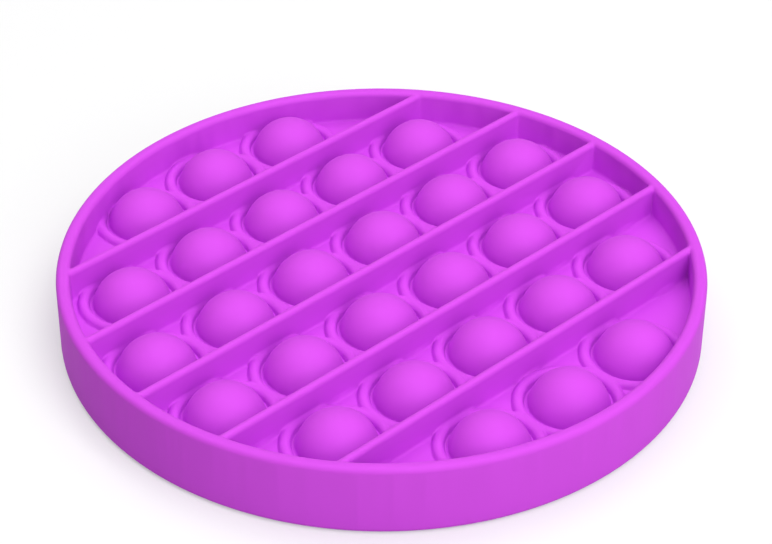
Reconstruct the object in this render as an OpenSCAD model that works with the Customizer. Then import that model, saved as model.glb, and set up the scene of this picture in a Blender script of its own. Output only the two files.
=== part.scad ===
// Round bubble fidget toy: one silicone moulding with a rim, a thin web half way up it,
// straight dividers across it, and rows of domes that pop through the web.
// Both sides are alike apart from the domes, which stand up on one side and are hollow on the other.

/* [Rim] */
// Outside diameter of the rim
rim_d = 125; // [124.6:0.2:130]
// Height of the rim, which is the height of the toy
rim_h = 14.6; // [14:0.2:20]
// Thickness of the rim wall
rim_wall = 2.7; // [2.3:0.1:2.9]
// Radius of the rim's rounded corners
rim_round = 1.1; // [0.4:0.1:1.1]

/* [Web] */
// Thickness of the web, which lies half way up the rim
web_t = 1.2; // [0.9:0.1:1.6]
// Radius of the fillet between the web and the rim wall
web_fillet = 0.8; // [0.3:0.1:1]

/* [Dividers] */
// Distance between the middles of neighbouring dividers
divider_pitch = 19.1; // [19:0.05:19.4]
// Thickness of a divider, whose top and bottom edges are full rounds
divider_t = 1.7; // [1.2:0.1:1.8]
// How far a divider's edge lies inside the rim's edge
divider_drop = 0.3; // [0.1:0.1:1.5]
// Radius of the fillet between a divider and the web
divider_fillet = 0.6; // [0.2:0.1:0.8]

/* [Rows of bubbles] */
// Distance between the middles of neighbouring bubbles in a row
bubble_pitch = 19.25; // [19:0.05:19.4]
// How much further apart the rows lie than the dividers
row_extra = 0.25; // [0:0.05:0.3]
// How far the middle bubble of an outermost row is set out towards the rim
outer_bow = 1.2; // [0:0.1:1.3]

/* [Bubble] */
// Outside radius of a dome
dome_r = 7.2; // [6.8:0.1:7.3]
// Thickness of a dome's wall
dome_wall = 0.8; // [0.5:0.1:1.2]
// How far the middle of a dome's sphere lies below the middle of the web
dome_sink = 0.7; // [0.6:0.05:1]
// Radius of the hinge groove round the foot of a dome
groove_r = 0.75; // [0.65:0.05:0.8]
// Depth of the hinge groove
groove_depth = 0.55; // [0.4:0.05:0.6]
// Radius of the rounded lip at a dome's mouth
lip_round = 0.4; // [0.2:0.1:0.5]
// Radius of the ring bead round a bubble, at its crest
bead_r = 9.2; // [9.1:0.05:9.3]
// Width of the ring bead
bead_w = 1.5; // [1.4:0.1:1.6]
// Height of the ring bead above the web, on both sides
bead_h = 0.8; // [0.5:0.1:1]

/* [Hidden] */

$fn = 72;

// Rows of bubbles, from the middle divider outwards: how many, and how far the middle one is set out
ROWS = [[6, 0], [5, 0], [3, outer_bow]];
DIVIDERS = 5;

// How far two arcs that blend into each other overlap, so that they cross cleanly
blend = 0.002;
// How far the web and the dividers reach into the rim wall
sunk = 0.9;

web_z = rim_h / 2;
web_half = web_t / 2;
rim_in = rim_d / 2 - rim_wall;
web_r = rim_in + sunk;
divider_h = rim_h - 2 * divider_drop;
row_pitch = divider_pitch + row_extra;

// The bubble's section, with its heights taken from the middle of the web
hollow_r = dome_r - dome_wall;
bead_z = web_half + bead_h - bead_w / 2;
groove_z = web_half - groove_depth + groove_r;
groove_x = sqrt(pow(dome_r + groove_r - blend, 2) - pow(groove_z + dome_sink, 2));
lip_z = lip_round - web_half - blend;
lip_x = sqrt(pow(hollow_r + lip_round - blend, 2) - pow(lip_z + dome_sink, 2));

// Middle of bubble k in a row on one side of the middle divider
function bubble_at(row, side, k) =
    let (from_middle = k - (ROWS[row][0] - 1) / 2,
         out = from_middle == 0 ? ROWS[row][1] : 0)
    [from_middle * bubble_pitch, side * ((row + 0.5) * row_pitch + out), 0];

BUBBLES = [for (row = [0 : len(ROWS) - 1], side = [-1, 1], k = [0 : ROWS[row][0] - 1])
    bubble_at(row, side, k)];

// A fillet in the corner at the origin, between +X and +Y, with a leg sunk into both walls
module fillet_section(r, leg) {
    difference() {
        translate([-leg, -leg])
            square(r + leg);
        translate([r - blend, r - blend])
            circle(r);
    }
}

// Half the section through the rim: a wall with rounded corners, and fillets to the web
module rim_section() {
    translate([rim_in, rim_round])
        square([rim_wall, rim_h - 2 * rim_round]);
    translate([rim_in + rim_round, 0])
        square([rim_wall - 2 * rim_round, rim_h]);
    for (x = [rim_in + rim_round, rim_d / 2 - rim_round], y = [rim_round, rim_h - rim_round])
        translate([x, y])
            circle(rim_round);
    for (side = [0, 1])
        translate([rim_in, web_z])
            mirror([0, side])
                translate([0, web_half])
                    mirror([1, 0])
                        fillet_section(web_fillet, web_half);
}

module rim() {
    rotate_extrude()
        rim_section();
}

// The web, with a hole under each ring bead
module web() {
    difference() {
        translate([0, 0, web_z - web_half])
            cylinder(r = web_r, h = web_t);
        for (at = BUBBLES)
            translate(at)
                cylinder(r = bead_r, h = rim_h);
    }
}

// A divider's section: a plate with full rounds along both edges, and fillets to the web
module divider_section() {
    edge_r = divider_t / 2;
    translate([-edge_r, edge_r - divider_h / 2])
        square([divider_t, divider_h - divider_t]);
    for (y = [-1, 1])
        translate([0, y * (divider_h / 2 - edge_r)])
            circle(edge_r);
    for (x = [0, 1], y = [0, 1])
        mirror([x, 0])
            mirror([0, y])
                translate([edge_r, web_half])
                    fillet_section(divider_fillet, web_half);
}

module dividers() {
    intersection() {
        cylinder(r = web_r, h = rim_h);
        for (k = [0 : DIVIDERS - 1])
            translate([-rim_d / 2, (k - (DIVIDERS - 1) / 2) * divider_pitch, web_z])
                rotate([90, 0, 90])
                    linear_extrude(rim_d)
                        divider_section();
    }
}

// Half the section through a bubble, from its axis to its ring bead
module bubble_section() {
    difference() {
        union() {
            intersection() {
                translate([0, -dome_sink])
                    circle(dome_r);
                translate([0, -web_half])
                    square(2 * dome_r);
            }
            // The hinge under the groove, up to the line from the dome's middle to the groove's
            polygon([
                [0, -web_half],
                [bead_r, -web_half],
                [bead_r, bead_z],
                [groove_x, groove_z],
                [0, -dome_sink]
            ]);
        }
        translate([0, -dome_sink])
            circle(hollow_r);
        translate([groove_x, groove_z])
            circle(groove_r);
        // What the rounded lip leaves off
        difference() {
            polygon([
                [lip_x, lip_z],
                [0, -dome_sink],
                [0, -rim_h],
                [lip_x, -rim_h]
            ]);
            translate([lip_x, lip_z])
                circle(lip_round);
        }
    }
    for (side = [-1, 1])
        translate([bead_r, side * bead_z])
            circle(bead_w / 2);
}

// Where the ring beads of two bubbles meet, they run into each other
module bubbles() {
    for (at = BUBBLES)
        translate(at + [0, 0, web_z])
            rotate_extrude()
                bubble_section();
}

module bubble_sheet() {
    color("#D040E8")
        union() {
            union() {
                union() {
                    rim();
                    web();
                }
                dividers();
            }
            bubbles();
        }
}

bubble_sheet();
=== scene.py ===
"""A round bubble fidget toy: one silicone moulding on a white floor, in soft light all round."""

import math

import bpy
import numpy as np
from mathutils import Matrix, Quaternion, Vector


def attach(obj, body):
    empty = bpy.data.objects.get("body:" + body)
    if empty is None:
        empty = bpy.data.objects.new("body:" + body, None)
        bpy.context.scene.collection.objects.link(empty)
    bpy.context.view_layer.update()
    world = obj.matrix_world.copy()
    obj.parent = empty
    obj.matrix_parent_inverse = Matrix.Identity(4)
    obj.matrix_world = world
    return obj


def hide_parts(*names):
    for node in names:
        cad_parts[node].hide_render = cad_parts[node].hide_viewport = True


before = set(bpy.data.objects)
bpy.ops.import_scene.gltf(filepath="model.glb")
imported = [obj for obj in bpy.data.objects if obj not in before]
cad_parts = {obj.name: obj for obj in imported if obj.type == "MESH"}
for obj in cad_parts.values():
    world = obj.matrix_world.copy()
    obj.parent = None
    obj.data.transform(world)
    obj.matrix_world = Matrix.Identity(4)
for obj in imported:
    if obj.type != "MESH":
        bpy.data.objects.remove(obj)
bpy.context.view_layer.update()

MM = 0.001

# Camera: the photograph's angle, in degrees, and the rest in millimetres
CAMERA_AZIMUTH, CAMERA_ELEVATION, CAMERA_ROLL = -43.8, 36.2, 0.297
CAMERA_AIM = (11.16, 10.44, 0.0)
CAMERA_DISTANCE, CAMERA_LENS, CAMERA_SENSOR = 480.8, 111.28, 36.0
# The nearest and the furthest that the camera sees, in metres
CAMERA_NEAR, CAMERA_FAR = 0.01, 20.0

# The softboxes, their distance from the toy and their side in metres, and then for each one its
# azimuth and elevation in degrees, and its watts
SOFTBOX_DISTANCE, SOFTBOX_SIDE = 1.2, 0.9
SOFTBOXES = {
    "overhead_back": (180, 65, 5.6),
    "overhead_right": (90, 65, 4.4),
    "overhead_front": (-15, 62, 7.2),
    "front": (-10, 40, 3.4),
    "front_right": (45, 40, 0.6),
    "left": (-90, 40, 0.8),
    "low_front": (-10, 15, 4.4),
    "low_left": (-90, 15, 1.2),
    "low_back_right": (135, 15, 0.4),
}

# The floor: half its width in metres, how far it lies under the toy in millimetres, and the
# light of its own that the camera sees
FLOOR_HALF, FLOOR_BELOW, FLOOR_GLOW = 2.5, 0.2, 0.38

# The moulding's sizes, in millimetres: those of the part's source, but with the wider domes, the
# finer groove and the broader ring beads of a second reading of the photograph
RIM_R, RIM_H, RIM_WALL, RIM_ROUND = 62.5, 14.6, 2.7, 1.1
WEB_T = 1.2
DIVIDERS, DIVIDER_PITCH, DIVIDER_T, DIVIDER_DROP = 5, 19.1, 1.7, 0.3
BUBBLE_PITCH, ROW_PITCH = 19.25, 19.35
DOME_R, DOME_WALL, DOME_SINK = 7.7, 0.8, 0.55
GROOVE_R, GROOVE_DEPTH = 0.5, 0.35
BEAD_R, BEAD_W, BEAD_H = 9.4, 2.2, 1.1
# Rows of bubbles from the middle outwards: how many, and how far the middle one is set out
ROWS = ((6, 0.0), (5, 0.0), (3, 1.2))

# How wide each soft corner of the moulding is, in millimetres
FOOT_BLEND = 0.7  # at a wall's foot
CORNER_BLEND = 0.4  # where a divider meets the rim
NEAR_WALL_BLEND = 1.0  # where a dome's foot comes close to a wall
BEAD_BLEND = 0.3  # at a bead's foot
BEADS_BLEND = 0.35  # where two beads meet
LIP_BLEND = 0.5  # at a dome's mouth
GROOVE_BLEND = 0.25  # along the hinge groove

WEB_Z = RIM_H / 2
WEB_HALF = WEB_T / 2
WALL_MIDDLE = RIM_R - RIM_WALL / 2
# The groove's middle from the bubble's axis, and its and the bead's from the middle of the web
GROOVE_Z = WEB_HALF - GROOVE_DEPTH + GROOVE_R
GROOVE_X = math.sqrt((DOME_R + GROOVE_R) ** 2 - (GROOVE_Z + DOME_SINK) ** 2)
BEAD_Z = WEB_HALF + BEAD_H - BEAD_W / 2

# The even squares that the moulding is skinned in, and the most triangles that it keeps
SQUARE_MM = 0.4
MOST_TRIANGLES = 196_000
# The grid's lowest layer, set so that no layer just grazes a groove's bottom, a bead or a rim
LOWEST_LAYER_MM = -0.95
# How often points are moved onto the surface, the step in millimetres that its slope is measured
# over, and the least that a squared slope counts as, so that no point jumps
SETTLE_TIMES, SLOPE_STEP, LEAST_STEEP = 2, 0.01, 0.25

# The silicone's grain: its width and height in millimetres, and how strongly it shows. A
# sandblasted mould's grain is finer than this, which is as coarse as it needs to be to show.
GRAIN_WIDTH, GRAIN_HEIGHT, GRAIN_STRENGTH = 0.35, 0.01, 0.25
# How far light spreads under the silicone's skin, in millimetres
LIGHT_SPREAD = 1.2


def direction(azimuth, elevation):
    """The direction from the toy to what stands at these angles, in degrees. Azimuth 0 is over
    -Y, and 90 over +X."""
    turn, tilt = math.radians(azimuth), math.radians(elevation)
    return Vector(
        (math.sin(turn) * math.cos(tilt), -math.cos(turn) * math.cos(tilt), math.sin(tilt))
    )


def set_camera():
    """The camera stands where the photographer's did."""
    back = direction(CAMERA_AZIMUTH, CAMERA_ELEVATION)
    data = bpy.data.cameras.new("camera")
    data.lens, data.sensor_width = CAMERA_LENS, CAMERA_SENSOR
    data.clip_start, data.clip_end = CAMERA_NEAR, CAMERA_FAR
    camera = bpy.data.objects.new("camera", data)
    camera.location = (Vector(CAMERA_AIM) + back * CAMERA_DISTANCE) * MM
    camera.rotation_mode = "QUATERNION"
    roll = Quaternion((0, 0, 1), math.radians(CAMERA_ROLL))
    camera.rotation_quaternion = (-back).to_track_quat("-Z", "Y") @ roll
    bpy.context.scene.collection.objects.link(camera)
    bpy.context.scene.camera = camera


def bubble_middles():
    """The middle of each bubble, in millimetres."""
    middles = []
    for row, (count, set_out) in enumerate(ROWS):
        for side in (-1, 1):
            for k in range(count):
                across = k - (count - 1) / 2
                out = set_out if across == 0 else 0.0
                middles.append((across * BUBBLE_PITCH, side * ((row + 0.5) * ROW_PITCH + out)))
    return middles


BUBBLES = bubble_middles()


def nearest_bubbles(x, y):
    """Distances to the nearest and the next nearest bubble's axis."""
    first = np.full(x.shape, np.inf)
    second = np.full(x.shape, np.inf)
    for bubble_x, bubble_y in BUBBLES:
        d = (x - bubble_x) ** 2 + (y - bubble_y) ** 2
        second = np.minimum(second, np.maximum(first, d))
        first = np.minimum(first, d)
    return np.sqrt(first), np.sqrt(second)


def soft_min(a, b, width):
    """The lower of two distances, with a rounded corner of that width where they cross."""
    near = np.maximum(width - np.abs(a - b), 0.0) / width
    return np.minimum(a, b) - near * near * width / 4


def soft_max(a, b, width):
    return -soft_min(-a, -b, width)


def rounded_bar(across, up, half_across, half_up, r):
    """Distance to a bar's section, with corners of radius r."""
    x = np.abs(across) - (half_across - r)
    y = np.abs(up) - (half_up - r)
    outside = np.hypot(np.maximum(x, 0.0), np.maximum(y, 0.0))
    return outside + np.minimum(np.maximum(x, y), 0.0) - r


def rim_and_dividers(y, up, rho):
    """Distance to the walls. rho is the distance to the toy's axis."""
    most = DIVIDERS // 2
    nearest = np.clip(np.round(y / DIVIDER_PITCH), -most, most) * DIVIDER_PITCH
    half_up = RIM_H / 2 - DIVIDER_DROP
    divider = rounded_bar(y - nearest, up, DIVIDER_T / 2, half_up, DIVIDER_T / 2)
    divider = np.maximum(divider, rho - WALL_MIDDLE)
    rim = rounded_bar(rho - WALL_MIDDLE, up, RIM_WALL / 2, RIM_H / 2, RIM_ROUND)
    return soft_min(divider, rim, CORNER_BLEND)


def ring_beads(up, r, r_next):
    """Distance to the rings round the nearest two bubbles, on both sides of the web."""
    off = np.abs(up) - BEAD_Z
    crests = soft_min(np.hypot(r - BEAD_R, off), np.hypot(r_next - BEAD_R, off), BEADS_BLEND)
    return crests - BEAD_W / 2


def depth_in_silicone(x, y, z, r, r_next):
    """Distance in millimetres to the moulding's surface, below 0 inside it. r and r_next are the
    distances to the nearest two bubbles' axes."""
    up = z - WEB_Z
    rho = np.hypot(x, y)
    walls = rim_and_dividers(y, up, rho)
    groove = np.hypot(r - GROOVE_X, up - GROOVE_Z) - GROOVE_R
    web = soft_max(np.abs(up) - WEB_HALF, -groove, GROOVE_BLEND)
    web = soft_min(web, ring_beads(up, r, r_next), BEAD_BLEND)
    web = soft_min(np.maximum(web, rho - WALL_MIDDLE), walls, FOOT_BLEND)
    to_dome_middle = np.hypot(r, up + DOME_SINK)
    dome = np.maximum(to_dome_middle - DOME_R, -WEB_HALF - up)
    dome = soft_max(dome, -groove, GROOVE_BLEND)
    dome = soft_min(dome, walls, NEAR_WALL_BLEND)
    hollow = to_dome_middle - (DOME_R - DOME_WALL)
    return soft_max(np.minimum(web, dome), -hollow, LIP_BLEND)


def depth_at(points):
    x, y, z = points.T
    return depth_in_silicone(x, y, z, *nearest_bubbles(x, y))


def slope(points):
    """The direction in which the distance to the surface grows."""
    rise = np.empty_like(points)
    for axis in range(3):
        aside = np.zeros(3)
        aside[axis] = SLOPE_STEP
        rise[:, axis] = depth_at(points + aside) - depth_at(points - aside)
    return rise / (2 * SLOPE_STEP)


def settle(points):
    """Moves points onto the moulding's surface."""
    for _ in range(SETTLE_TIMES):
        rise = slope(points)
        steep = np.maximum((rise * rise).sum(1), LEAST_STEEP)
        points = points - (depth_at(points) / steep)[:, None] * rise
    return points


def next_axes(axis):
    return (axis + 1) % 3, (axis + 2) % 3


def grid_ends(axis):
    """The low ends and the high ends of a grid's lines along one axis."""
    low = tuple(slice(None, -1) if k == axis else slice(None) for k in range(3))
    high = tuple(slice(1, None) if k == axis else slice(None) for k in range(3))
    return low, high


def squares_round(lines, number):
    """A square round each cut grid line, between the points of the four cubes that share it."""
    squares = []
    for axis, at, rising in lines:
        b, c = next_axes(axis)
        corners = []
        for back_b, back_c in ((1, 1), (0, 1), (0, 0), (1, 0)):
            cube = at.copy()
            cube[:, b] -= back_b
            cube[:, c] -= back_c
            corners.append(number[tuple(cube.T)])
        corners = np.stack(corners, 1)
        squares.append(np.where(rising[:, None], corners, corners[:, ::-1]))
    return np.concatenate(squares)


def skin(side):
    """The moulding's surface in even squares: a point in each cube of a grid that the surface
    crosses, at the mean of its cuts, and a square round each grid line that it cuts."""
    # The grid reaches a few cubes past the moulding on every side
    reach = RIM_R + 2 * side
    across = np.arange(-reach, reach + side, side)
    up = np.arange(LOWEST_LAYER_MM, RIM_H + 3 * side, side)
    x, y = np.meshgrid(across, across, indexing="ij")
    near = [r[..., None] for r in nearest_bubbles(x, y)]
    depth = depth_in_silicone(x[..., None], y[..., None], up, *near)
    cubes = tuple(n - 1 for n in depth.shape)
    place, cuts = np.zeros(cubes + (3,)), np.zeros(cubes)
    lines = []
    for axis in range(3):
        low, high = grid_ends(axis)
        b, c = next_axes(axis)
        cut = (depth[low] < 0) != (depth[high] < 0)
        part = np.where(cut, depth[low] / np.where(cut, depth[low] - depth[high], 1.0), 0.0)
        for step_b, step_c in ((0, 0), (0, 1), (1, 0), (1, 1)):
            window = [slice(None)] * 3
            window[b] = slice(step_b, step_b + cubes[b])
            window[c] = slice(step_c, step_c + cubes[c])
            here = cut[tuple(window)]
            cuts += here
            place[..., axis] += part[tuple(window)]
            place[..., b] += here * step_b
            place[..., c] += here * step_c
        lines.append((axis, np.argwhere(cut), depth[low][cut] < 0))
    crossed = np.argwhere(cuts > 0)
    number = np.full(cubes, -1)
    number[tuple(crossed.T)] = np.arange(len(crossed))
    inner = place[tuple(crossed.T)] / cuts[tuple(crossed.T)][:, None]
    points = (crossed + inner) * side + np.array([across[0], across[0], up[0]])
    return points, squares_round(lines, number)


def points_of(mesh):
    """A mesh's points, in millimetres."""
    flat = np.empty(len(mesh.vertices) * 3)
    mesh.vertices.foreach_get("co", flat)
    return flat.reshape(-1, 3) / MM


def put_points(mesh, points):
    mesh.vertices.foreach_set("co", (points * MM).ravel())
    mesh.update()


def make_moulding():
    """The moulding in one skin, with fewer, larger triangles where it is flat."""
    points, squares = skin(SQUARE_MM)
    mesh = bpy.data.meshes.new("bubble_sheet_moulding")
    mesh.from_pydata(settle(points) * MM, [], squares)
    piece = bpy.data.objects.new("bubble_sheet_moulding", mesh)
    bpy.context.scene.collection.objects.link(piece)
    thin = piece.modifiers.new("thin", "DECIMATE")
    thin.ratio = MOST_TRIANGLES / (2 * len(squares))
    thin.use_collapse_triangulate = True
    graph = bpy.context.evaluated_depsgraph_get()
    mesh = bpy.data.meshes.new_from_object(piece.evaluated_get(graph), depsgraph=graph)
    piece.modifiers.clear()
    piece.data = mesh
    points = settle(points_of(mesh))
    put_points(mesh, points)
    normals = slope(points)
    normals /= np.linalg.norm(normals, axis=1)[:, None]
    mesh.shade_smooth()
    mesh.normals_split_custom_set_from_vertices(normals)
    return piece


def linear(hex_colour):
    """An sRGB hex colour as the linear colour that a shader takes."""
    parts = [int(hex_colour[i : i + 2], 16) / 255 for i in (1, 3, 5)]
    return [p / 12.92 if p <= 0.04045 else ((p + 0.055) / 1.055) ** 2.4 for p in parts] + [1.0]


def add_node(tree, kind, settings=(), links=()):
    """A node with its settings, by socket or attribute, and the sockets that feed it."""
    node = tree.nodes.new(kind)
    for key, value in dict(settings).items():
        if isinstance(key, int) or key in node.inputs:
            node.inputs[key].default_value = value
        else:
            setattr(node, key, value)
    for key, source in dict(links).items():
        tree.links.new(source, node.inputs[key])
    return node


def new_material(name):
    material = bpy.data.materials.new(name)
    material.use_nodes = True
    material.node_tree.nodes.clear()
    return material


def background_rays(tree):
    """1 on rays from the camera and on those that a shiny or clear surface sends on, otherwise 0."""
    rays = add_node(tree, "ShaderNodeLightPath")
    seen = rays.outputs["Is Camera Ray"]
    for kind in ("Is Glossy Ray", "Is Transmission Ray"):
        links = {0: seen, 1: rays.outputs[kind]}
        seen = add_node(tree, "ShaderNodeMath", {"operation": "MAXIMUM"}, links).outputs[0]
    return seen


def silicone():
    """Moulded silicone rubber, matt from a sandblasted mould: no clear highlight, and light that
    spreads a little way under the skin, so that creases stay saturated."""
    material = new_material("moulded_silicone")
    tree = material.node_tree
    place = add_node(tree, "ShaderNodeTexCoord")
    grain = add_node(
        tree,
        "ShaderNodeTexNoise",
        {"Scale": 1 / (GRAIN_WIDTH * MM), "Detail": 2.0, "Roughness": 0.6},
        {"Vector": place.outputs["Object"]},
    )
    bump = add_node(
        tree,
        "ShaderNodeBump",
        {"Strength": GRAIN_STRENGTH, "Distance": GRAIN_HEIGHT * MM},
        {"Height": grain.outputs["Fac"]},
    )
    rubber = add_node(
        tree,
        "ShaderNodeBsdfPrincipled",
        {
            "Base Color": linear("#CF4BE0"),
            "Roughness": 0.62,
            "IOR": 1.41,
            "Specular IOR Level": 0.18,
            "Subsurface Weight": 0.05,
            "Subsurface Radius": (1.0, 0.35, 1.0),
            "Subsurface Scale": LIGHT_SPREAD * MM,
        },
        {"Normal": bump.outputs["Normal"]},
    )
    add_node(tree, "ShaderNodeOutputMaterial", {}, {"Surface": rubber.outputs["BSDF"]})
    return material


def white_floor():
    """Matt white paper sweep, which reads as white wherever the toy doesn't shade it."""
    material = new_material("white_paper_sweep")
    tree = material.node_tree
    paper = add_node(tree, "ShaderNodeBsdfDiffuse", {"Color": linear("#C4C4C4")})
    level = add_node(
        tree,
        "ShaderNodeMath",
        {"operation": "MULTIPLY", 1: FLOOR_GLOW},
        {0: background_rays(tree)},
    )
    glow = add_node(
        tree, "ShaderNodeEmission", {"Color": linear("#FFFFFF")}, {"Strength": level.outputs[0]}
    )
    both = add_node(tree, "ShaderNodeAddShader", {}, {0: paper.outputs[0], 1: glow.outputs[0]})
    add_node(tree, "ShaderNodeOutputMaterial", {}, {"Surface": both.outputs[0]})
    return material


def set_floor():
    """A floor that the toy stands on, far wider than the view."""
    half = FLOOR_HALF
    corners = [(-half, -half, 0), (half, -half, 0), (half, half, 0), (-half, half, 0)]
    mesh = bpy.data.meshes.new("floor")
    mesh.from_pydata(corners, [], [(0, 1, 2, 3)])
    mesh.materials.append(white_floor())
    floor = bpy.data.objects.new("floor", mesh)
    floor.location.z = -FLOOR_BELOW * MM
    bpy.context.scene.collection.objects.link(floor)


def set_softbox(name, azimuth, elevation, watts):
    """A square softbox that faces the toy."""
    away = direction(azimuth, elevation)
    data = bpy.data.lights.new(name, "AREA")
    data.energy, data.size = watts, SOFTBOX_SIDE
    lamp = bpy.data.objects.new(name, data)
    lamp.location = away * SOFTBOX_DISTANCE
    lamp.rotation_mode = "QUATERNION"
    lamp.rotation_quaternion = (-away).to_track_quat("-Z", "Y")
    bpy.context.scene.collection.objects.link(lamp)


def set_light():
    """Softboxes all round the toy and over it."""
    for name, (azimuth, elevation, watts) in SOFTBOXES.items():
        set_softbox(f"softbox_{name}", azimuth, elevation, watts)


def set_background():
    """White to the camera and in reflections, and dark to every other ray."""
    world = bpy.data.worlds.new("room")
    world.use_nodes = True
    tree = world.node_tree
    tree.nodes.clear()
    white = add_node(
        tree,
        "ShaderNodeBackground",
        {"Color": linear("#FFFFFF")},
        {"Strength": background_rays(tree)},
    )
    add_node(tree, "ShaderNodeOutputWorld", {}, {"Surface": white.outputs[0]})
    bpy.context.scene.world = world


set_camera()
moulding = make_moulding()
moulding.data.materials.append(silicone())
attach(moulding, "root")
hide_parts("bubble_sheet")
set_floor()
set_light()
set_background()
bpy.context.scene.view_settings.view_transform = "Standard"
